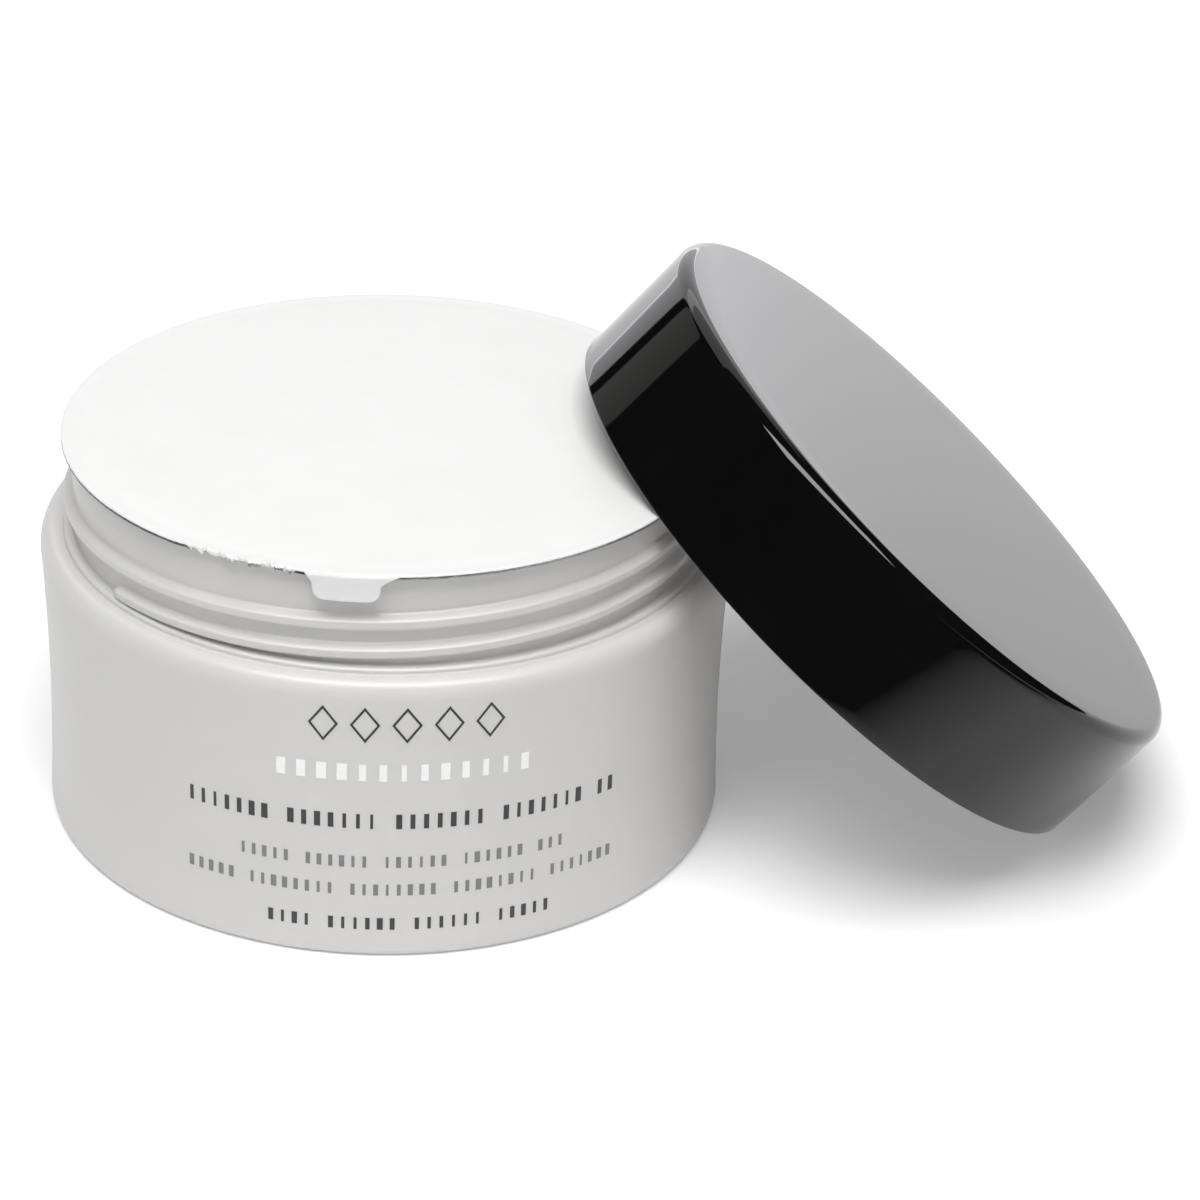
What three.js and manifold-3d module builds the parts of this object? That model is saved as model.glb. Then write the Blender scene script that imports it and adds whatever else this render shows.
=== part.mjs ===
// Screw-top jar of facial wipes, sealed with foil, with its lid off and leaning on the jar.
// Millimetres, +Z up. The jar stands at the left and the lid leans on it from +X.
// All sizes below are real sizes; everything else is worked out from them.

import * as THREE from 'three';
import { mergeVertices } from 'three/addons/utils/BufferGeometryUtils.js';
import Module from 'manifold-3d';

// Jar body
const baseRadius = 45.6;
const waistRadius = 45.3;
const shoulderRadius = 46;
const shoulderHeight = 40.2;
const shoulderRounding = 1.5;
const shoulderDip = 0.25;
const footRounding = 1.2;
const footRingWidth = 2.6;
const footRecess = 1.5;

// Neck with its lip and double-start thread
const neckRadius = 41.6;
const neckLength = 13.3;
const neckRounding = 0.5;
const lipWidth = 1.4;
const lipRise = 0.5;
const threadDepth = 1.2;
const threadWidth = 2.2;
const threadLead = 8.1;
const threadStarts = 2;
const threadRise = 1.22;
const threadSweep = 315;
const threadStartAngle = -147.5;
const threadEndLength = 1.6;
const threadBed = 0.45;

// Foil seal with its pull tab folded down over the neck
const foilThickness = 0.3;
const foilFlatMargin = 0.3;
const foilEdgeDroop = 0.3;
const foilSkirt = 0.5;
const tabAngle = -98.8;
const tabLength = 3.4;
const tabWidth = 8.9;
const tabRootWidth = 12.4;
const tabRootLength = 1.2;
const tabCorner = 1.6;

// Lid: glossy shell, threaded insert and foam liner
const threadClearance = 0.45;
const insertWall = 0.9;
const insertTop = 1.6;
const insertRecess = 0.8;
const fitGap = 0.3;
const shellWall = 1.05;
const shellTop = 2.6;
const lidRounding = 1.7;
const linerThickness = 1.5;
const linerMargin = 0.6;
const closedGap = 0.4;

// How the lid leans on the jar
const lidTiltDegrees = 41.5;
const leanClearance = 0.2;

// Fineness of the turned shapes
const turnSegments = 72;
const arcSegments = 4;
const wallSegments = 8;
const beadSegments = 6;
const cutTolerance = 0.01;

// Sizes that follow
const neckTop = shoulderHeight + neckLength;
const foilTop = neckTop + foilThickness;
const threadRadius = neckRadius + threadDepth;
const insertInner = threadRadius + threadClearance;
const insertOuter = insertInner + insertWall;
const shellInner = insertOuter + fitGap;
const lidRadius = shellInner + shellWall;
const foilRadius = insertInner - fitGap;
const linerBottom = foilTop - shoulderHeight - closedGap;
const insertCeiling = linerBottom + linerThickness + fitGap;
const shellCeiling = insertCeiling + insertTop + fitGap;
const lidHeight = shellCeiling + shellTop;
const lidTilt = THREE.MathUtils.degToRad(lidTiltDegrees);
const stepAngle = 360 / turnSegments;

const wasm = await Module();
wasm.setup();

// A plain closed geometry with shared corners, ready to be joined or cut.
function closedShape(geometry) {
  const plain = geometry.clone();
  plain.deleteAttribute('normal');
  plain.deleteAttribute('uv');
  return mergeVertices(plain, 1e-4);
}

function toSolid(geometry) {
  const shape = closedShape(geometry);
  const vertProperties = new Float32Array(shape.getAttribute('position').array);
  const triVerts = new Uint32Array(shape.index.array);
  return new wasm.Manifold(new wasm.Mesh({ numProp: 3, vertProperties, triVerts }));
}

function toGeometry(solid) {
  const mesh = solid.simplify(cutTolerance).getMesh();
  const geometry = new THREE.BufferGeometry();
  geometry.setAttribute('position', new THREE.BufferAttribute(mesh.vertProperties, mesh.numProp));
  geometry.setIndex(new THREE.BufferAttribute(mesh.triVerts, 1));
  return geometry;
}

// Quarter round between two directions, as profile points.
function arc(centreRadius, centreHeight, radius, fromDegrees, toDegrees) {
  return Array.from({ length: arcSegments + 1 }, (_, i) => {
    const angle = THREE.MathUtils.degToRad(fromDegrees + (toDegrees - fromDegrees) * i / arcSegments);
    return new THREE.Vector2(
      centreRadius + radius * Math.cos(angle),
      centreHeight + radius * Math.sin(angle),
    );
  });
}

const at = (radius, height) => new THREE.Vector2(radius, height);

// A profile from the axis, round the outside and back, turned about +Z.
function turned(profile) {
  return new THREE.LatheGeometry(profile, turnSegments).rotateX(Math.PI / 2);
}

// A thread bead: a long box bent to a helix, with a rounded crest that sinks away at both ends.
// The side is +1 for a bead on the outside of a wall and -1 for one on the inside of a bore.
function threadBead(wallRadius, side, bed, startDegrees, startHeight) {
  const steps = Math.round(threadSweep / stepAngle);
  const length = THREE.MathUtils.degToRad(threadSweep) * wallRadius;
  const bead = new THREE.BoxGeometry(1, 1, 1, steps, beadSegments, 1);
  const point = bead.getAttribute('position');
  for (let i = 0; i < point.count; i += 1) {
    const along = point.getX(i) + 0.5;
    const across = point.getY(i);
    const isCrest = point.getZ(i) > 0;
    const fromEnd = Math.min(along, 1 - along) * length;
    const nearEnd = Math.max(0, 1 - fromEnd / threadEndLength);
    const fullness = Math.max(0.1, Math.sqrt(1 - nearEnd * nearEnd));
    const crest = Math.sqrt(Math.max(0, Math.cos(across * Math.PI)));
    const proud = isCrest ? (bed + threadDepth) * crest * fullness : -bed / 2;
    const radius = wallRadius + side * (proud - bed);
    const angle = THREE.MathUtils.degToRad(startDegrees + threadSweep * along);
    const height = startHeight + threadLead * threadSweep / 360 * along;
    point.setXYZ(
      i,
      radius * Math.cos(angle),
      radius * Math.sin(angle),
      height + threadWidth * across * fullness,
    );
  }
  if (side < 0) bead.index.array.reverse();
  return toSolid(bead);
}

function withThread(solid, wallRadius, side, bed, startHeight) {
  let threaded = solid;
  for (let start = 0; start < threadStarts; start += 1) {
    const startDegrees = threadStartAngle + 360 * start / threadStarts;
    threaded = threaded.add(threadBead(wallRadius, side, bed, startDegrees, startHeight));
  }
  return threaded;
}

// Jar: one sealed solid with its wipes inside, a recessed base, a waisted wall,
// a rounded shoulder, and the neck with its lip and thread.
function jarGeometry() {
  const ringInner = baseRadius - footRounding - footRingWidth;
  const wallBottom = footRounding;
  const wallTop = shoulderHeight - shoulderRounding;
  const wall = new THREE.SplineCurve([
    at(baseRadius, wallBottom),
    at(waistRadius, (wallBottom + wallTop) / 2),
    at(shoulderRadius, wallTop),
  ]).getPoints(wallSegments);
  const creaseRadius = neckRadius + lipWidth;
  const lipHeight = shoulderHeight + lipRise;
  const profile = [
    at(0, footRecess),
    at(ringInner - footRecess, footRecess),
    at(ringInner, 0),
    ...arc(baseRadius - footRounding, footRounding, footRounding, -90, 0),
    ...wall.slice(1, -1),
    ...arc(shoulderRadius - shoulderRounding, wallTop, shoulderRounding, 0, 90),
    at(creaseRadius, shoulderHeight - shoulderDip),
    at(creaseRadius - lipRise / 4, lipHeight - lipRise / 2),
    at(creaseRadius - lipRise, lipHeight),
    at(neckRadius, lipHeight),
    ...arc(neckRadius - neckRounding, neckTop - neckRounding, neckRounding, 0, 90),
    at(0, neckTop),
  ];
  return toGeometry(withThread(
    toSolid(turned(profile)), neckRadius, 1, threadBed, shoulderHeight + threadRise,
  ));
}

// Outline of the pull tab, hanging from z = 0: a wide root that curves in to a round-ended tab.
function tabOutline() {
  const rootHalf = tabRootWidth / 2;
  const half = tabWidth / 2;
  const corner = Math.min(tabCorner, half);
  const outline = new THREE.Shape();
  outline.moveTo(-rootHalf, foilThickness);
  outline.lineTo(-rootHalf, 0);
  outline.bezierCurveTo(-half, 0, -half, 0, -half, -tabRootLength);
  outline.lineTo(-half, corner - tabLength);
  outline.quadraticCurveTo(-half, -tabLength, corner - half, -tabLength);
  outline.lineTo(half - corner, -tabLength);
  outline.quadraticCurveTo(half, -tabLength, half, corner - tabLength);
  outline.lineTo(half, -tabRootLength);
  outline.bezierCurveTo(half, 0, half, 0, rootHalf, 0);
  outline.lineTo(rootHalf, foilThickness);
  return outline;
}

// Foil seal: a disc whose edge droops past the neck to a short skirt, with the tab cut in one with it.
function foilGeometry() {
  const flatRadius = neckRadius + foilFlatMargin;
  const innerRadius = foilRadius - foilThickness;
  const edgeTop = foilTop - foilEdgeDroop;
  const skirtBottom = edgeTop - foilSkirt;
  const disc = toSolid(turned([
    at(0, neckTop),
    at(flatRadius, neckTop),
    at(innerRadius, edgeTop - foilThickness),
    at(innerRadius, skirtBottom),
    at(foilRadius, skirtBottom),
    at(foilRadius, edgeTop),
    at(flatRadius, foilTop),
    at(0, foilTop),
  ]));
  const tabRing = toSolid(turned([
    at(innerRadius, skirtBottom - tabLength),
    at(foilRadius, skirtBottom - tabLength),
    at(foilRadius, edgeTop),
    at(innerRadius, edgeTop),
    at(innerRadius, skirtBottom - tabLength),
  ]));
  const reach = 2 * foilRadius;
  const cutter = new THREE.ExtrudeGeometry(tabOutline(), { depth: reach, bevelEnabled: false, curveSegments: 4 })
    .rotateX(Math.PI / 2)
    .rotateZ(THREE.MathUtils.degToRad(tabAngle + 90))
    .translate(0, 0, skirtBottom);
  return toGeometry(disc.add(tabRing.intersect(toSolid(cutter))));
}

// The lid's own pieces are drawn with the rim plane at z = 0 and the top at z = lidHeight.
function shellGeometry() {
  return closedShape(turned([
    at(0, shellCeiling),
    at(shellInner, shellCeiling),
    at(shellInner, 0),
    at(lidRadius, 0),
    ...arc(lidRadius - lidRounding, lidHeight - lidRounding, lidRounding, 0, 90),
    at(0, lidHeight),
  ]));
}

function insertGeometry() {
  const cup = toSolid(turned([
    at(0, insertCeiling),
    at(insertInner, insertCeiling),
    at(insertInner, insertRecess),
    at(insertOuter, insertRecess),
    at(insertOuter, insertCeiling + insertTop),
    at(0, insertCeiling + insertTop),
  ]));
  const bed = Math.min(threadBed, insertWall / 2);
  return toGeometry(withThread(cup, insertInner, -1, bed, insertRecess + threadRise));
}

function linerGeometry() {
  const radius = insertInner - linerMargin;
  return closedShape(turned([
    at(0, linerBottom),
    at(radius, linerBottom),
    at(radius, linerBottom + linerThickness),
    at(0, linerBottom + linerThickness),
  ]));
}

// The lid rests on its lowest rim corner, and its hollow's edge touches the foil's edge at two points.
function leanDistance() {
  const cosTilt = Math.cos(lidTilt);
  const sinTilt = Math.sin(lidTilt);
  const rimHeight = lidRadius * sinTilt;
  const edges = [
    at(foilRadius, foilTop - foilEdgeDroop),
    at(neckRadius + foilFlatMargin, foilTop),
  ];
  const rims = [at(shellInner, 0), at(insertInner, insertRecess)];
  const distances = edges.flatMap((edge) => rims.map((rim) => {
    const slant = (edge.y - rimHeight - rim.y * cosTilt) / sinTilt;
    const reach = Math.sqrt(edge.x ** 2 - rim.x ** 2 + slant ** 2);
    return reach + slant * cosTilt - rim.y * sinTilt;
  }));
  return Math.max(...distances) + leanClearance;
}

function piece(name, geometry, color, roughness, metalness) {
  const material = new THREE.MeshStandardMaterial({ color, roughness, metalness });
  const mesh = new THREE.Mesh(geometry, material);
  mesh.name = name;
  return mesh;
}

const jar = new THREE.Group();
jar.add(
  piece('jar', jarGeometry(), 0xd6d4d0, 0.35, 0),
  piece('foil_seal', foilGeometry(), 0xf4f4f2, 0.5, 0.1),
);

const lid = new THREE.Group();
lid.add(
  piece('lid_shell', shellGeometry(), 0x0c0c0d, 0.08, 0),
  piece('lid_insert', insertGeometry(), 0x141415, 0.4, 0),
  piece('lid_liner', linerGeometry(), 0xe9e8e4, 0.8, 0),
);
lid.rotation.y = lidTilt;
lid.position.set(leanDistance(), 0, lidRadius * Math.sin(lidTilt));

// The origin is on the floor, under the middle of the whole pack.
const pack = new THREE.Group();
pack.add(jar, lid);
const box = new THREE.Box3().setFromObject(pack, true);
pack.position.x = -(box.min.x + box.max.x) / 2;

export default pack;
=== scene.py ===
import math

import bpy
from mathutils import Matrix, Vector, noise


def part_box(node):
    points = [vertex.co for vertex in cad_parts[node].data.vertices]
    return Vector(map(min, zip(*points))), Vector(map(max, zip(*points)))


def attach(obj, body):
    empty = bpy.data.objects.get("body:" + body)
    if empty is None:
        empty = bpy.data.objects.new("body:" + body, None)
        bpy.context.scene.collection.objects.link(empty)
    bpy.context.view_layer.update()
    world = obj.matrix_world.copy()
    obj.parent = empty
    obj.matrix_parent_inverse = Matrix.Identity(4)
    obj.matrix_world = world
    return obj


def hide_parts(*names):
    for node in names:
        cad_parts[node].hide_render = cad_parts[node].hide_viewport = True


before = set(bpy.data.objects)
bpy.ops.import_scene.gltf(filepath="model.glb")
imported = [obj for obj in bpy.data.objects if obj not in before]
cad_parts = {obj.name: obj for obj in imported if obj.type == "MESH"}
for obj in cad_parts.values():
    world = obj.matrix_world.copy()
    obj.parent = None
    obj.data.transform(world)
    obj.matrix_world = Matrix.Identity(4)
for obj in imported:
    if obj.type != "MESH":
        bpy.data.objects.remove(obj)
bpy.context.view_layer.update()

# Studio camera, fitted to the outlines of the jar, the seal and the lid.
# It is a long lens that looks down on the pack from the front, a little rolled.
mm = 0.001
photo_width = 1200
focal_pixels = 4000
sensor_width = 36
camera_elevation = math.radians(27.94)
camera_roll = math.radians(2.22)
camera_turn = math.radians(-5.84)
camera_distance = 552.6 * mm
camera_left = -29.66964 * mm
camera_up = 24.38436 * mm

jar_low, jar_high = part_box("jar")
jar_x = (jar_low.x + jar_high.x) / 2
shoulder_radius = (jar_high.y - jar_low.y) / 2

camera_data = bpy.data.cameras.new("studio_camera")
camera_data.sensor_width = sensor_width
camera_data.lens = focal_pixels / photo_width * sensor_width
camera_data.clip_start = 0.01
camera = bpy.data.objects.new("studio_camera", camera_data)
bpy.context.scene.collection.objects.link(camera)
level_right = Vector((1, 0, 0))
level_up = Vector((0, math.sin(camera_elevation), math.cos(camera_elevation)))
forward = Vector((0, math.cos(camera_elevation), -math.sin(camera_elevation)))
right = math.cos(camera_roll) * level_right + math.sin(camera_roll) * level_up
up = math.cos(camera_roll) * level_up - math.sin(camera_roll) * level_right
place = -right * camera_left + up * camera_up - forward * camera_distance
turn = Matrix.Rotation(camera_turn, 4, "Z")
pose = Matrix((right, up, -forward)).transposed().to_4x4()
pose.translation = place
camera.matrix_world = Matrix.Translation((jar_x, 0, 0)) @ turn @ pose
bpy.context.scene.camera = camera

# Jar: injection-moulded pale warm grey plastic with a soft sheen.
# One turned shape with a waisted wall, a rounded shoulder and a lip; the double-start
# thread stands out of the neck as two soft beads that sink away at their ends.
neck_radius = 41.6 * mm
neck_top = jar_high.z
neck_rounding = 0.5 * mm
shoulder_height = neck_top - 13.3 * mm
shoulder_rounding = 1.8 * mm
shoulder_fall = 2.6 * mm
shoulder_dip = 0.25 * mm
waist_radius = shoulder_radius - 0.7 * mm
base_radius = shoulder_radius - 0.4 * mm
foot_rounding = 1.2 * mm
foot_ring = 2.6 * mm
foot_recess = 1.5 * mm
foot_bevel = 0.2 * mm
lip_width = 1.4 * mm
lip_rise = 0.5 * mm
lip_groove = 0.25 * mm
neck_fillet = 0.2 * mm
thread_depth = 1.2 * mm
thread_width = 2.6 * mm
thread_lead = 8.1 * mm
thread_sweep = 315
thread_starts = (-147.5, 32.5)
thread_rise = 1.22 * mm
thread_foot = shoulder_height + thread_rise
thread_end = 1.1 * mm
thread_flank = 0.7
thread_narrowest = 0.3
thread_bluntness = 0.4
neck_row = 0.11 * mm
jar_steps = 480


def arc(centre_radius, centre_height, radius, first, last, count):
    """Points of a profile on part of a circle, between two angles in degrees."""
    points = []
    for i in range(count + 1):
        angle = math.radians(first + (last - first) * i / count)
        points.append((centre_radius + radius * math.cos(angle), centre_height + radius * math.sin(angle)))
    return points


def line(start, end, count):
    """Points of a profile between two others, without these."""
    return [
        (start[0] + (end[0] - start[0]) * i / count, start[1] + (end[1] - start[1]) * i / count)
        for i in range(1, count)
    ]


def turned_mesh(name, profile, steps, shift=None):
    """A mesh turned about Z from a profile that runs from the axis, round the outside and back."""
    vertices, rings = [], []
    for radius, height in profile:
        if radius < 1e-7:
            rings.append([len(vertices)])
            vertices.append((0, 0, height))
            continue
        rings.append(list(range(len(vertices), len(vertices) + steps)))
        for j in range(steps):
            angle = 2 * math.pi * j / steps
            far, high = shift(radius, height, angle) if shift else (radius, height)
            vertices.append((far * math.cos(angle), far * math.sin(angle), high))
    faces = []
    for low, high in zip(rings, rings[1:]):
        for j in range(steps):
            k = (j + 1) % steps
            if len(low) == 1:
                faces.append((low[0], high[k], high[j]))
            elif len(high) == 1:
                faces.append((low[j], low[k], high[0]))
            else:
                faces.append((low[j], low[k], high[k], high[j]))
    mesh = bpy.data.meshes.new(name)
    mesh.from_pydata(vertices, [], faces)
    mesh.shade_smooth()
    return mesh


def finished(name, mesh, matrix, material, slot, *nodes):
    """The finished piece, with its place in its mesh, riding on the pack."""
    mesh.transform(matrix)
    mesh.materials.clear()
    for finish in material if isinstance(material, (list, tuple)) else (material,):
        mesh.materials.append(finish)
    piece = bpy.data.objects.new(name, mesh)
    bpy.context.scene.collection.objects.link(piece)
    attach(piece, "root")
    if nodes:
        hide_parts(*nodes)
    return piece


def smooth(value):
    value = min(1, max(0, value))
    return value * value * (3 - 2 * value)


def thread_height(angle, height):
    """How far the thread stands out of the neck at a place on it."""
    proud = 0
    for start in thread_starts:
        turned = (math.degrees(angle) - start) % 360
        for along in (turned, turned - 360):
            centre = thread_foot + thread_lead * along / 360
            beyond = max(-along, along - thread_sweep)
            past = math.radians(beyond) * neck_radius + thread_end
            fullness = math.sqrt(max(0, 1 - max(0, past / thread_end) ** 2))
            if fullness <= 0:
                continue
            half_width = thread_width / 2 * max(thread_narrowest, fullness)
            flank = smooth((1 - abs(height - centre) / half_width) / thread_flank)
            proud = max(proud, thread_depth * fullness ** thread_bluntness * flank)
    return proud


def jar_shift(radius, height, angle):
    if abs(radius - neck_radius) < 1e-6 and height > shoulder_height:
        return radius + thread_height(angle, height), height
    return radius, height


def bump(nodes, links, shader, scale, strength, distance):
    """Fine unevenness of a moulded or pressed surface."""
    place_node = nodes.new("ShaderNodeTexCoord")
    grain = nodes.new("ShaderNodeTexNoise")
    grain.inputs["Scale"].default_value = scale
    grain.inputs["Detail"].default_value = 3
    height = nodes.new("ShaderNodeBump")
    height.inputs["Strength"].default_value = strength
    height.inputs["Distance"].default_value = distance
    links.new(place_node.outputs["Object"], grain.inputs["Vector"])
    links.new(grain.outputs["Fac"], height.inputs["Height"])
    links.new(height.outputs["Normal"], shader.inputs["Normal"])
    return grain


def tinted(nodes, links, shader, grain, dark, light):
    """Slight change of colour over a surface, between two near colours."""
    ramp = nodes.new("ShaderNodeValToRGB")
    ramp.color_ramp.elements[0].position = 0.3
    ramp.color_ramp.elements[0].color = (*dark, 1)
    ramp.color_ramp.elements[1].position = 0.7
    ramp.color_ramp.elements[1].color = (*light, 1)
    links.new(grain.outputs["Fac"], ramp.inputs["Fac"])
    links.new(ramp.outputs["Color"], shader.inputs["Base Color"])


def new_finish(name, roughness, specular=0.5, metallic=0.0):
    material = bpy.data.materials.new(name)
    material.use_nodes = True
    nodes, links = material.node_tree.nodes, material.node_tree.links
    shader = nodes["Principled BSDF"]
    shader.inputs["Roughness"].default_value = roughness
    shader.inputs["Specular IOR Level"].default_value = specular
    shader.inputs["Metallic"].default_value = metallic
    return material, nodes, links, shader


def jar_plastic():
    material, nodes, links, shader = new_finish("moulded_jar_plastic", 0.36, 0.5)
    grain = bump(nodes, links, shader, 900, 0.06, 0.00005)
    broad = nodes.new("ShaderNodeTexNoise")
    broad.inputs["Scale"].default_value = 25
    links.new(nodes["Texture Coordinate"].outputs["Object"], broad.inputs["Vector"])
    tinted(nodes, links, shader, broad, (0.664, 0.656, 0.64), (0.682, 0.675, 0.66))
    shader.inputs["Subsurface Weight"].default_value = 0.12
    shader.inputs["Subsurface Radius"].default_value = (0.002, 0.0018, 0.0016)
    shader.inputs["Subsurface Scale"].default_value = 1
    return material


wall_low = foot_rounding
wall_high = shoulder_height - shoulder_fall


def wall_radius(height):
    """The wall's waist: a parabola through the radii at its foot, middle and top."""
    share = (height - wall_low) / (wall_high - wall_low)
    foot = base_radius * (2 * share - 1) * (share - 1)
    middle = waist_radius * 4 * share * (1 - share)
    top = shoulder_radius * share * (2 * share - 1)
    return foot + middle + top


ring_inner = base_radius - foot_rounding - foot_ring
lip_radius = neck_radius + lip_width
lip_top = shoulder_height + lip_rise
neck_rows = round((neck_top - neck_rounding - lip_top) / neck_row)
wall_rows = [(wall_radius(z), z) for _, z in line((0, wall_low), (0, wall_high), 20)]
jar_profile = [
    (0, foot_recess),
    (ring_inner - foot_recess, foot_recess),
    (ring_inner - foot_bevel, foot_bevel * 0.75),
    (ring_inner, 0),
    *arc(base_radius - foot_rounding, foot_rounding, foot_rounding, -90, 0, 8),
    *wall_rows,
    *[
        (radius, wall_high + rise * shoulder_fall / shoulder_rounding)
        for radius, rise in arc(shoulder_radius - shoulder_rounding, 0, shoulder_rounding, 0, 90, 14)
    ],
    (lip_radius + lip_groove, shoulder_height - shoulder_dip * 0.8),
    (lip_radius + lip_groove * 0.2, shoulder_height - shoulder_dip),
    (lip_radius - lip_groove * 0.08, shoulder_height - shoulder_dip * 0.6),
    *arc(lip_radius - lip_rise, lip_top - lip_rise, lip_rise, 0, 90, 5),
    (neck_radius + neck_fillet * 1.5, lip_top),
    (neck_radius + neck_fillet * 0.4, lip_top + neck_fillet * 0.3),
    (neck_radius, lip_top + neck_fillet),
    *line((neck_radius, lip_top + neck_fillet), (neck_radius, neck_top - neck_rounding), neck_rows),
    *arc(neck_radius - neck_rounding, neck_top - neck_rounding, neck_rounding, 0, 90, 5),
    (0, neck_top),
]
jar_place = Matrix.Translation((jar_x, 0, 0))
finished(
    "jar_body", turned_mesh("jar_body", jar_profile, jar_steps, jar_shift),
    jar_place, jar_plastic(), "jar_plastic", "jar",
)

# Print on the jar's front: thin screen-printed shapes in black, white and grey.
# Rows of small plain blocks, bent round the wall, with a row of open lozenges on top.
print_height = 0.1 * mm
block_share = 0.5
block_narrowest = 0.4


def print_ink(name, color):
    material, nodes, links, shader = new_finish(name, 0.45, 0.4)
    grain = bump(nodes, links, shader, 1500, 0.1, 0.00002)
    lighter = tuple(min(1, c * 1.12) for c in color)
    tinted(nodes, links, shader, grain, color, lighter)
    return material


def blocks_tree():
    """A row of blocks round the jar: each is narrower or wider, and every few places is a gap."""
    tree = bpy.data.node_groups.new("print_blocks", "GeometryNodeTree")
    tree.interface.new_socket("Geometry", in_out="OUTPUT", socket_type="NodeSocketGeometry")
    tree.interface.new_socket("Geometry", in_out="INPUT", socket_type="NodeSocketGeometry")
    for name in ("First angle", "Angle step", "Radius", "Height", "Block width", "Block height"):
        tree.interface.new_socket(name, in_out="INPUT", socket_type="NodeSocketFloat")
    for name in ("Count", "Gap every", "Gap offset", "Seed"):
        tree.interface.new_socket(name, in_out="INPUT", socket_type="NodeSocketInt")
    tree.interface.new_socket("Ink", in_out="INPUT", socket_type="NodeSocketMaterial")
    make = tree.nodes.new
    link = tree.links.new
    inputs = make("NodeGroupInput").outputs
    output = make("NodeGroupOutput")

    def maths(operation, a, b=None):
        node = make("ShaderNodeMath")
        node.operation = operation
        for socket, value in zip(node.inputs, (a, b)):
            if isinstance(value, (int, float)):
                socket.default_value = value
            elif value is not None:
                link(value, socket)
        return node.outputs[0]

    index = make("GeometryNodeInputIndex").outputs[0]
    angle = maths("ADD", inputs["First angle"], maths("MULTIPLY", inputs["Angle step"], index))
    spot = make("ShaderNodeCombineXYZ")
    link(maths("MULTIPLY", inputs["Radius"], maths("COSINE", angle)), spot.inputs["X"])
    link(maths("MULTIPLY", inputs["Radius"], maths("SINE", angle)), spot.inputs["Y"])
    link(inputs["Height"], spot.inputs["Z"])
    points = make("GeometryNodePoints")
    link(inputs["Count"], points.inputs["Count"])
    link(spot.outputs[0], points.inputs["Position"])
    counted = maths("MODULO", maths("ADD", index, inputs["Gap offset"]), inputs["Gap every"])
    gap = maths("LESS_THAN", counted, 0.5)
    thinned = make("GeometryNodeDeleteGeometry")
    thinned.domain = "POINT"
    kept_angle = make("GeometryNodeStoreNamedAttribute")
    kept_angle.data_type = "FLOAT"
    kept_angle.inputs["Name"].default_value = "angle"
    link(points.outputs[0], kept_angle.inputs["Geometry"])
    link(angle, kept_angle.inputs["Value"])
    link(kept_angle.outputs[0], thinned.inputs["Geometry"])
    link(gap, thinned.inputs["Selection"])
    block = make("GeometryNodeMeshCube")
    size = make("ShaderNodeCombineXYZ")
    size.inputs["X"].default_value = print_height
    link(inputs["Block width"], size.inputs["Y"])
    link(inputs["Block height"], size.inputs["Z"])
    link(size.outputs[0], block.inputs["Size"])
    read = make("GeometryNodeInputNamedAttribute")
    read.data_type = "FLOAT"
    read.inputs["Name"].default_value = "angle"
    facing = make("ShaderNodeCombineXYZ")
    link(read.outputs["Attribute"], facing.inputs["Z"])
    chance = make("FunctionNodeRandomValue")
    chance.data_type = "FLOAT"
    chance.inputs["Min"].default_value = block_narrowest
    chance.inputs["Max"].default_value = 1
    link(inputs["Seed"], chance.inputs["Seed"])
    width = make("ShaderNodeCombineXYZ")
    width.inputs["X"].default_value = 1
    width.inputs["Z"].default_value = 1
    link(chance.outputs["Value"], width.inputs["Y"])
    placed = make("GeometryNodeInstanceOnPoints")
    link(thinned.outputs[0], placed.inputs["Points"])
    link(block.outputs["Mesh"], placed.inputs["Instance"])
    link(facing.outputs[0], placed.inputs["Rotation"])
    link(width.outputs[0], placed.inputs["Scale"])
    real = make("GeometryNodeRealizeInstances")
    inked = make("GeometryNodeSetMaterial")
    link(placed.outputs[0], real.inputs[0])
    link(real.outputs[0], inked.inputs["Geometry"])
    link(inputs["Ink"], inked.inputs["Material"])
    link(inked.outputs[0], output.inputs[0])
    return tree


def grown(name, tree, values):
    """The plain mesh that a tree makes with these inputs."""
    seed_mesh = bpy.data.meshes.new(name)
    holder = bpy.data.objects.new(name, seed_mesh)
    bpy.context.scene.collection.objects.link(holder)
    modifier = holder.modifiers.new("grow", "NODES")
    modifier.node_group = tree
    sockets = {s.name: s.identifier for s in tree.interface.items_tree if s.in_out == "INPUT"}
    for key, value in values.items():
        modifier[sockets[key]] = value
    seen = holder.evaluated_get(bpy.context.evaluated_depsgraph_get())
    mesh = bpy.data.meshes.new_from_object(seen)
    holder.modifiers.clear()
    bpy.data.objects.remove(holder)
    return mesh


black_ink = print_ink("black_ink", (0.045, 0.045, 0.045))
grey_ink = print_ink("grey_ink", (0.21, 0.21, 0.21))
white_ink = print_ink("white_ink", (0.93, 0.93, 0.92))
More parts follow.
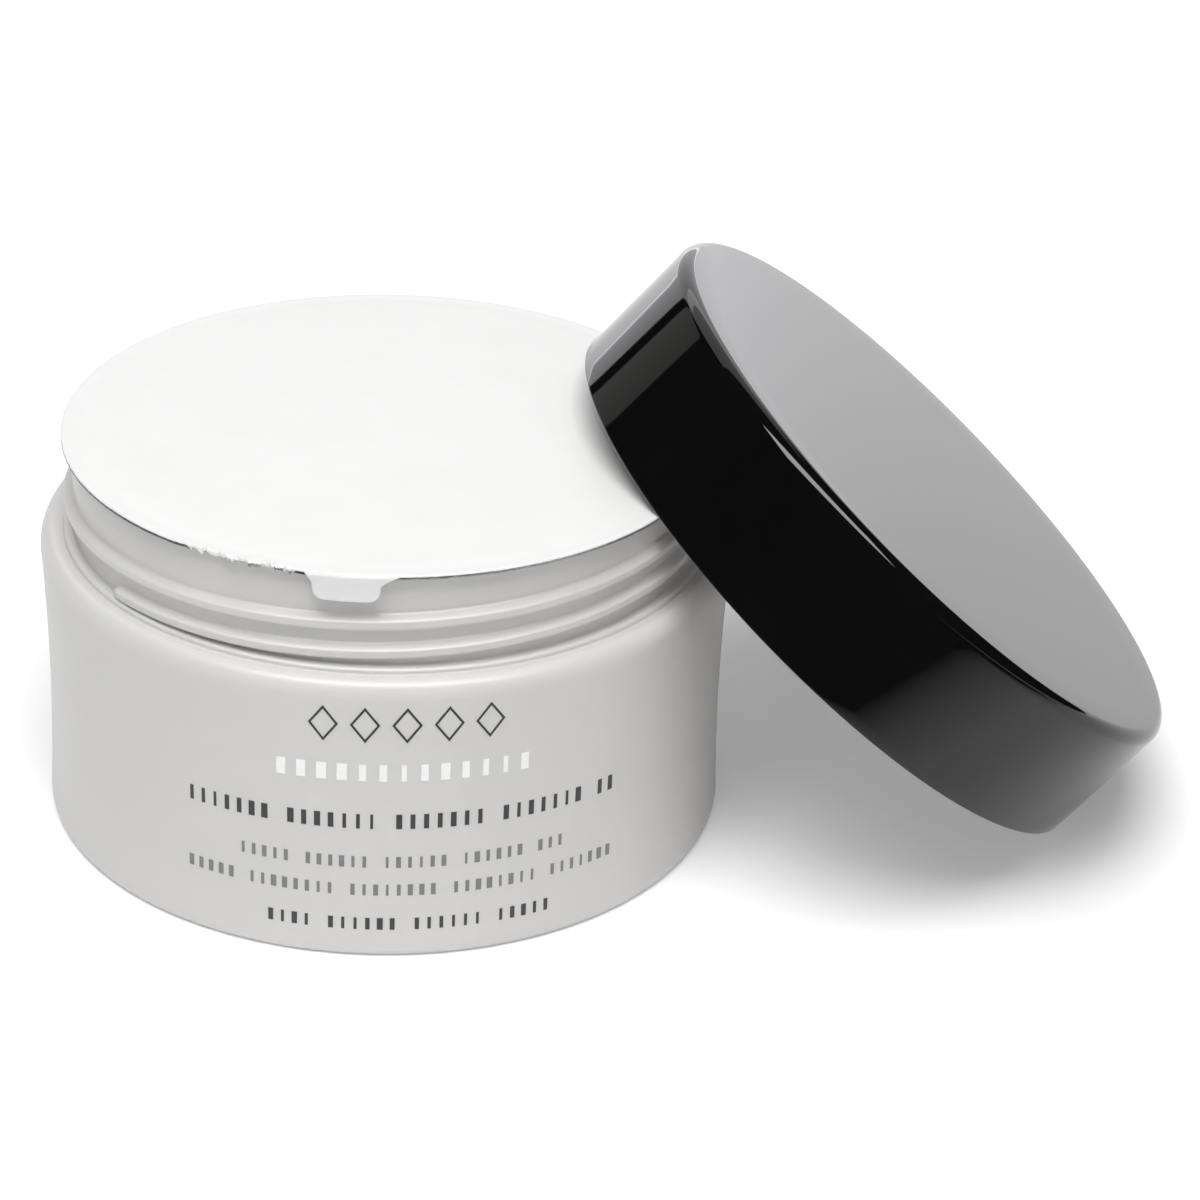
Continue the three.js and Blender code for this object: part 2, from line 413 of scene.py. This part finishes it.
# Each row: name, ink, first and last angle, height on the wall, block height in mm,
# count, how many places there are from gap to gap, and how far the gaps are moved.
print_rows = (
    ("print_row_white", white_ink, -109.1, -69.7, 27.3, 2.4, 13, 20, 3),
    ("print_row_bold", black_ink, -125.1, -52.9, 20.1, 2.1, 34, 8, 1),
    ("print_row_grey_upper", grey_ink, -115.7, -62.7, 14.1, 1.6, 30, 7, 2),
    ("print_row_grey_lower", grey_ink, -125.3, -52.9, 10.0, 1.6, 40, 9, 4),
    ("print_row_black", black_ink, -110.9, -65.2, 5.0, 1.7, 24, 7, 3),
)
block_tree = blocks_tree()
for number, (name, ink, first, last, height, tall, count, every, offset) in enumerate(print_rows):
    step = math.radians(last - first) / (count - 1)
    radius = wall_radius(height * mm)
    finished(name, grown(name, block_tree, {
        "First angle": math.radians(first),
        "Angle step": step,
        "Radius": radius,
        "Height": height * mm,
        "Block width": step * radius * block_share,
        "Block height": tall * mm,
        "Count": count,
        "Gap every": every,
        "Gap offset": offset,
        "Seed": number,
        "Ink": ink,
    }), jar_place, ink, "jar_print")

lozenge_count = 5
lozenge_first = math.radians(-102.2)
lozenge_step = math.radians(6.6)
lozenge_height = 34.3 * mm
lozenge_tall = 2.6 * mm
lozenge_wide = 1.9 * mm
lozenge_line = 0.36 * mm


def lozenge_mesh():
    """Open lozenges in a row: each is a flat outline with an outer and an inner edge."""
    radius = wall_radius(lozenge_height)
    vertices, faces = [], []
    for n in range(lozenge_count):
        middle = lozenge_first + n * lozenge_step
        base = len(vertices)
        for layer in (print_height / 2, -print_height / 2):
            for inset in (0, lozenge_line):
                for quarter in range(4):
                    angle = quarter * math.pi / 2
                    across = (lozenge_wide - inset) * math.cos(angle)
                    tall = (lozenge_tall - inset * lozenge_tall / lozenge_wide) * math.sin(angle)
                    turn_angle = middle + across / radius
                    far = wall_radius(lozenge_height + tall) + layer
                    vertices.append((
                        far * math.cos(turn_angle), far * math.sin(turn_angle), lozenge_height + tall,
                    ))
        for q in range(4):
            r = (q + 1) % 4
            faces.append((base + q, base + r, base + 4 + r, base + 4 + q))
            faces.append((base + 8 + r, base + 8 + q, base + 12 + q, base + 12 + r))
            faces.append((base + r, base + q, base + 8 + q, base + 8 + r))
            faces.append((base + 4 + q, base + 4 + r, base + 12 + r, base + 12 + q))
    mesh = bpy.data.meshes.new("print_lozenges")
    mesh.from_pydata(vertices, [], faces)
    return mesh


finished("print_lozenges", lozenge_mesh(), jar_place, black_ink, "jar_print")

# Foil seal: white lacquered foil, heat-sealed to the neck.
# Its cut edge droops past the neck, shows silver and is crumpled at the front left; elsewhere its colour
# is painted shade under the edge, dark on the left half and a paler grey on the right half.
foil_low, foil_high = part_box("foil_seal")
foil_radius = (foil_high.y - foil_low.y) / 2
foil_top = foil_high.z
foil_thickness = 0.3 * mm
foil_flat = neck_radius + 0.5 * mm
foil_droop = 0.25 * mm
foil_skirt = 0.36 * mm
seal_ring_radius = 41.1 * mm
seal_ring_width = 0.9 * mm
seal_ring_depth = 0.12 * mm
sheet_wave = 0.05 * mm
foil_bend = 0.4 * mm
cut_burr = 0.05 * mm
crumple_first = -131
crumple_last = -106
crumple_enter = 7
crumple_leave = 4
crumple_rest = 0.06
crumple_out = 0.34 * mm
crumple_up = 0.42 * mm
# Within this angle of the right side the cut edge gets the paler painted shade; further round it gets the
# dark painted shade.
soft_shade_reach = math.radians(98)
deep_shade_edge, silver_edge, soft_shade_edge = 1, 2, 3
foil_steps = 1080


def crumple(angle):
    """How crumpled the cut edge is, from 0 to 1."""
    degrees = (math.degrees(angle) + 180) % 360 - 180
    enter = smooth((degrees - crumple_first) / crumple_enter)
    leave = smooth((crumple_last - degrees) / crumple_leave)
    return crumple_rest + (1 - crumple_rest) * enter * leave


def foil_shift(radius, height, angle):
    """The sheet's slight waves, the ring that the neck presses in it, and its crumpled edge."""
    edge = smooth((radius - foil_flat) / (foil_radius - foil_flat))
    ring = math.exp(-((radius - seal_ring_radius) / seal_ring_width) ** 2)
    spot = Vector((math.cos(angle), math.sin(angle), radius / foil_radius * 0.4))
    ripple = noise.noise(spot * 26) + 0.8 * noise.noise(spot * 85)
    wave = noise.noise(Vector((radius * math.cos(angle), radius * math.sin(angle), 0)) * 45)
    amount = crumple(angle)
    flake = noise.noise(spot * 60 + Vector((3, 0, 0))) + noise.noise(spot * 130)
    far = radius + edge * amount * crumple_out * (ripple - 0.5)
    high = height + edge * amount * crumple_up * flake
    if height > neck_top + foil_thickness * 0.9:
        high += (wave * sheet_wave - ring * seal_ring_depth) * (1 - edge)
    return far, high


def foil_lacquer():
    material, nodes, links, shader = new_finish("white_foil_lacquer", 0.42, 0.25)
    grain = bump(nodes, links, shader, 120, 0.12, 0.0002)
    tinted(nodes, links, shader, grain, (0.835, 0.835, 0.826), (0.855, 0.855, 0.847))
    return material


def foil_metal(name, dark, light):
    material, nodes, links, shader = new_finish(name, 0.28, 0.5, 0.9)
    grain = bump(nodes, links, shader, 2200, 0.8, 0.0002)
    tinted(nodes, links, shader, grain, dark, light)
    return material


foil_inner = foil_radius - foil_thickness * 0.6
edge_top = foil_top - foil_droop
foil_profile = [
    (0, neck_top),
    (foil_flat - foil_bend, neck_top),
    (foil_inner, edge_top - foil_thickness * 0.6),
    (foil_inner, edge_top - foil_skirt),
    (foil_radius - cut_burr * 1.2, edge_top - foil_skirt - cut_burr * 0.8),
    (foil_radius, edge_top - foil_skirt + cut_burr),
    (foil_radius, edge_top - foil_skirt / 2),
    *arc(foil_radius - foil_droop, edge_top, foil_droop, 0, 80, 5),
    (foil_flat, foil_top),
    *line((foil_flat, foil_top), (0.5 * mm, foil_top), 56),
    (0, foil_top),
]
foil_mesh = turned_mesh("foil_seal_sheet", foil_profile, foil_steps, foil_shift)
# The cut edge's dark and pale metal finishes are painted shade under the edge; the silver one is the
# crumpled foil.
foil_finishes = (
    foil_lacquer(),
    foil_metal("cut_edge_painted_deep_shade", (0.05, 0.05, 0.055), (0.16, 0.16, 0.17)),
    foil_metal("silver_crumple", (0.12, 0.12, 0.12), (0.95, 0.95, 0.93)),
    foil_metal("cut_edge_painted_soft_shade", (0.3, 0.3, 0.3), (0.5, 0.5, 0.5)),
)
finished("foil_seal_sheet", foil_mesh, jar_place, foil_finishes, "seal_foil", "foil_seal")


def edge_finish(angle):
    """Which of the foil's finishes its cut edge has at an angle: crumpled silver, else painted shade,
    paler on the right half and dark on the left half.
    """
    if crumple(angle) > 0.5:
        return silver_edge
    if abs(angle) < soft_shade_reach:
        return soft_shade_edge
    return deep_shade_edge


cut_height = edge_top - 0.02 * mm
cut_radius = foil_inner - 0.1 * mm
# Each face of the cut edge takes its finish by angle: crumpled silver, dark painted shade, pale painted
# shade.
for face in foil_mesh.polygons:
    outward = Vector((face.center.x - jar_x, face.center.y, 0))
    if face.center.z < cut_height and outward.length > cut_radius:
        face.material_index = edge_finish(math.atan2(outward.y, outward.x))

# Pull tab: one with the foil, bent over the edge and folded down flat on the neck.
# Its root curves in to a narrower tab with round corners.
tab_angle = math.radians(-99.1)
tab_length = 3.5 * mm
tab_half = 4.4 * mm
tab_roots = {-1: 5.3 * mm, 1: 6.8 * mm}
tab_root_length = 1.5 * mm
tab_corner = 1.3 * mm
tab_taper = 0.3 * mm
tab_gauge = 0.12 * mm
tab_bend = 0.35 * mm
tab_gap = 0.05 * mm
tab_stand = 0.2 * mm
tab_waver = 0.06 * mm
tab_flare = 1.8
tab_rows = 36
tab_columns = 40


def tab_reach(down, side):
    """How far the tab reaches to a side at a distance down from the foil's edge."""
    flare = max(0, 1 - down / tab_root_length)
    half = tab_half + (tab_roots[side] - tab_half) * flare ** tab_flare - tab_taper * down / tab_length
    corner = down - (tab_length - tab_corner)
    if corner > 0:
        half -= tab_corner - math.sqrt(max(0, tab_corner ** 2 - corner ** 2))
    return half


def tab_mesh():
    """The tab as a sheet of rows that go down from the foil's edge."""
    vertices, faces = [], []
    for i in range(tab_rows + 1):
        down = tab_length * i / tab_rows
        first, last = -tab_reach(down, -1), tab_reach(down, 1)
        fold = min(1, down / tab_bend)
        radius = foil_radius + tab_gap + tab_stand * math.sin(fold * math.pi / 2)
        height = foil_top - foil_droop * 0.4 - down
        for j in range(tab_columns + 1):
            across = first + (last - first) * j / tab_columns
            angle = tab_angle + across / foil_radius
            far = radius + tab_waver * noise.noise(Vector((across, down, 0)) * 400)
            vertices.append((far * math.cos(angle), far * math.sin(angle), height))
    for i in range(tab_rows):
        for j in range(tab_columns):
            a = i * (tab_columns + 1) + j
            b = a + tab_columns + 1
            faces.append((a, b, b + 1, a + 1))
    mesh = bpy.data.meshes.new("foil_pull_tab")
    mesh.from_pydata(vertices, [], faces)
    mesh.shade_smooth()
    return mesh


def tab_lacquer():
    material, nodes, links, shader = new_finish("tab_lacquer", 0.4, 0.4)
    grain = bump(nodes, links, shader, 300, 0.12, 0.0001)
    tinted(nodes, links, shader, grain, (0.78, 0.785, 0.775), (0.81, 0.815, 0.805))
    return material


tab = finished("foil_pull_tab", tab_mesh(), jar_place, tab_lacquer(), "seal_foil", "foil_seal")
gauge = tab.modifiers.new("gauge", "SOLIDIFY")
gauge.thickness = tab_gauge
gauge.offset = 0

# Lid shell: polished black moulding with a rounded top edge, leaning on the foil's edge.
# Its lowest rim corner stands on the floor.
shell_low, shell_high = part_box("lid_shell")
lid_tilt = math.radians(41.5)
lid_radius = (shell_high.y - shell_low.y) / 2
lid_height = 19.5 * mm
lid_rounding = 1.7 * mm
shell_wall = 1.05 * mm
shell_top = 2.6 * mm
shell_ceiling = lid_height - shell_top
rim_rounding = 0.25 * mm
lid_steps = 360
lid_place = Matrix.Translation((
    shell_low.x + lid_radius * math.cos(lid_tilt), 0, lid_radius * math.sin(lid_tilt),
)) @ Matrix.Rotation(lid_tilt, 4, "Y")


def polished_black():
    material, nodes, links, shader = new_finish("polished_black", 0.05, 0.5)
    grain = bump(nodes, links, shader, 60, 0.02, 0.0001)
    tinted(nodes, links, shader, grain, (0.003, 0.003, 0.0032), (0.0045, 0.0045, 0.005))
    return material


shell_inner = lid_radius - shell_wall
shell_profile = [
    (0, shell_ceiling),
    (shell_inner, shell_ceiling),
    *line((shell_inner, shell_ceiling), (shell_inner, rim_rounding), 6),
    *arc(shell_inner + rim_rounding, rim_rounding, rim_rounding, 180, 270, 4),
    *arc(lid_radius - rim_rounding, rim_rounding, rim_rounding, 270, 360, 4),
    *line((lid_radius, rim_rounding), (lid_radius, lid_height - lid_rounding), 12),
    *arc(lid_radius - lid_rounding, lid_height - lid_rounding, lid_rounding, 0, 90, 14),
    *line((lid_radius - lid_rounding, lid_height), (0, lid_height), 10),
    (0, lid_height),
]
finished(
    "lid_outer_shell", turned_mesh("lid_outer_shell", shell_profile, lid_steps),
    lid_place, polished_black(), "lid_gloss", "lid_shell",
)

# Lid insert: satin black inner cup, snapped into the shell, with the thread that
# screws onto the neck. Its thread has the neck's lead and the same two starts.
fit_gap = 0.3 * mm
thread_clearance = 0.45 * mm
insert_wall = 0.9 * mm
insert_top = 1.6 * mm
insert_recess = 0.8 * mm
insert_edge = 0.2 * mm
insert_row = 0.176 * mm
insert_steps = 240
insert_inner = neck_radius + thread_depth + thread_clearance
insert_outer = insert_inner + insert_wall
insert_ceiling = shell_ceiling - fit_gap - insert_top
insert_rows = round((insert_ceiling - insert_recess) / insert_row)


def insert_shift(radius, height, angle):
    if abs(radius - insert_inner) < 1e-6 and insert_recess < height < insert_ceiling:
        neck_height = height + thread_foot - insert_recess - thread_rise
        return radius - thread_height(angle, neck_height), height
    return radius, height


def satin_black():
    material, nodes, links, shader = new_finish("satin_black_insert", 0.38, 0.45)
    grain = bump(nodes, links, shader, 800, 0.1, 0.00005)
    tinted(nodes, links, shader, grain, (0.010, 0.010, 0.011), (0.014, 0.014, 0.015))
    return material


insert_profile = [
    (0, insert_ceiling),
    (insert_inner, insert_ceiling),
    *line((insert_inner, insert_ceiling), (insert_inner, insert_recess), insert_rows),
    *arc(insert_inner + insert_edge, insert_recess + insert_edge, insert_edge, 180, 270, 3),
    *arc(insert_outer - insert_edge, insert_recess + insert_edge, insert_edge, 270, 360, 3),
    (insert_outer, insert_ceiling + insert_top),
    (0, insert_ceiling + insert_top),
]
finished(
    "lid_threaded_insert", turned_mesh("lid_threaded_insert", insert_profile, insert_steps, insert_shift),
    lid_place, satin_black(), "insert_plastic", "lid_insert",
)

# Lid liner: pressed white foam disc in the insert's ceiling, which seals on the neck.
# A shallow ring shows where the neck presses on it.
liner_margin = 0.6 * mm
liner_thickness = 1.5 * mm
liner_edge = 0.2 * mm
liner_mark = 0.12 * mm
liner_radius = insert_inner - liner_margin
liner_low = insert_ceiling - fit_gap - liner_thickness
liner_high = liner_low + liner_thickness
mark_inner = neck_radius - 1.8 * mm
mark_outer = neck_radius + 0.1 * mm


def liner_foam():
    material, nodes, links, shader = new_finish("pressed_foam", 0.8, 0.3)
    grain = bump(nodes, links, shader, 1800, 0.35, 0.0001)
    tinted(nodes, links, shader, grain, (0.72, 0.715, 0.69), (0.8, 0.795, 0.77))
    return material


liner_profile = [
    (0, liner_low),
    *line((0, liner_low), (mark_inner - liner_edge, liner_low), 4),
    (mark_inner, liner_low + liner_mark),
    (mark_outer, liner_low + liner_mark),
    (mark_outer + liner_edge, liner_low),
    *arc(liner_radius - liner_edge, liner_low + liner_edge, liner_edge, -90, 0, 3),
    *arc(liner_radius - liner_edge, liner_high - liner_edge, liner_edge, 0, 90, 3),
    (0, liner_high),
]
finished(
    "lid_foam_liner", turned_mesh("lid_foam_liner", liner_profile, insert_steps),
    lid_place, liner_foam(), "liner_foam", "lid_liner",
)

# Studio floor: plain and pale, with a glow that grows with distance behind the pack.
# The glow shows in the lid's polished top, and lights nothing that is matt.
bpy.context.scene.view_settings.view_transform = "Standard"
floor_half = 6
floor_white = 0.92
floor_glow = 0.2
floor_glow_far = 1.28
glow_first = 0.05
glow_last = 0.95


def flat_quad(name, left, right, front, back, height, finish):
    """A level rectangle that belongs to the studio."""
    mesh = bpy.data.meshes.new(name)
    corners = [(left, front, height), (right, front, height), (right, back, height), (left, back, height)]
    mesh.from_pydata(corners, [], [(0, 1, 2, 3)])
    mesh.materials.append(finish)
    quad = bpy.data.objects.new(name, mesh)
    bpy.context.scene.collection.objects.link(quad)
    return quad


def fade_along_y(nodes, links, first, last, low=0, high=1):
    """A value that goes from low to high between two places along Y."""
    place_node = nodes.new("ShaderNodeTexCoord")
    split = nodes.new("ShaderNodeSeparateXYZ")
    fade = nodes.new("ShaderNodeMapRange")
    fade.inputs["From Min"].default_value = first
    fade.inputs["From Max"].default_value = last
    fade.inputs["To Min"].default_value = low
    fade.inputs["To Max"].default_value = high
    links.new(place_node.outputs["Object"], split.inputs["Vector"])
    links.new(split.outputs["Y"], fade.inputs["Value"])
    return fade.outputs["Result"]


def floor_paint():
    material, nodes, links, shader = new_finish("studio_floor", 0.9, 0.1)
    shader.inputs["Base Color"].default_value = (floor_white, floor_white, floor_white, 1)
    shader.inputs["Emission Color"].default_value = (0.975, 0.965, 1, 1)
    glow = fade_along_y(nodes, links, glow_first, glow_last, floor_glow, floor_glow_far)
    ray = nodes.new("ShaderNodeLightPath")
    seen = nodes.new("ShaderNodeMath")
    seen.operation = "SUBTRACT"
    seen.inputs[0].default_value = 1
    shine = nodes.new("ShaderNodeMath")
    shine.operation = "MULTIPLY"
    links.new(ray.outputs["Is Diffuse Ray"], seen.inputs[1])
    links.new(seen.outputs[0], shine.inputs[0])
    links.new(glow, shine.inputs[1])
    links.new(shine.outputs[0], shader.inputs["Emission Strength"])
    return material


flat_quad("studio_floor", -floor_half, floor_half, -floor_half, floor_half, 0, floor_paint())

# Studio air: a weak even light all round, which doesn't show in gloss.
air_strength = 0.25
world = bpy.data.worlds.new("studio_air")
world.use_nodes = True
air = world.node_tree.nodes["Background"]
air.inputs["Color"].default_value = (1, 1, 1, 1)
air.inputs["Strength"].default_value = air_strength
world.cycles_visibility.glossy = False
bpy.context.scene.world = world

# Studio lamps: two soft boxes light the pack, one low at the front right and one high up.
# Four cards show only in its gloss: above its front, above its back, far behind it, and
# behind it at the left.
pack_middle = (0, 0, 0.03)
white = (1, 1, 1)


def soft_box(name, spot, aim, size, radiance, glossy, color=white):
    """A soft box that lights the pack, or a card that only shows in its gloss."""
    width, height = size
    light = bpy.data.lights.new(name, "AREA")
    light.shape = "RECTANGLE"
    light.size = width
    light.size_y = height
    light.energy = radiance * math.pi * width * height
    light.color = color
    lamp = bpy.data.objects.new(name, light)
    lamp.location = spot
    lamp.rotation_euler = (Vector(aim) - Vector(spot)).to_track_quat("-Z", "Y").to_euler()
    lamp.visible_camera = False
    lamp.visible_diffuse = not glossy
    lamp.visible_glossy = glossy
    bpy.context.scene.collection.objects.link(lamp)


soft_box("front_box", (0.5, -1.1, 0.6), pack_middle, (0.8, 0.8), 0.35, False)
soft_box("top_box", (-0.1, -0.45, 1.25), pack_middle, (0.9, 0.9), 6.4, False)
soft_box("front_gloss", (-0.05, -0.47, 0.9), pack_middle, (1.3, 0.34), 7.5, True)
soft_box("back_gloss", (0, 0.65, 0.85), pack_middle, (1.4, 0.8), 0.8, True)
soft_box("backdrop_gloss", (0.4, 2, 0.8), (0.4, 0, 0.8), (3.2, 1.7), 1.1, True, (0.98, 0.97, 1))
soft_box("lid_dim_card", (-1.06, 1.06, 0.36), (0, 0, 0.36), (0.46, 0.7), 0.36, True, (1, 0.98, 0.93))

# Black flag: lies on the floor in front of the pack and shows only in the lid's gloss.
# It fades out towards the pack.
flag_reach = 7
flag_right = 0.4
flag_back = -0.06
flag_height = 0.002
flag_clear = -0.07
flag_solid = -0.14


def flag_cloth():
    material, nodes, links, shader = new_finish("black_flag", 1, 0)
    shader.inputs["Base Color"].default_value = (0, 0, 0, 1)
    links.new(fade_along_y(nodes, links, flag_clear, flag_solid), shader.inputs["Alpha"])
    return material


black_flag = flat_quad(
    "black_flag", -flag_reach, flag_right, -flag_reach, flag_back, flag_height, flag_cloth(),
)
black_flag.visible_camera = False
black_flag.visible_diffuse = False
black_flag.visible_shadow = False
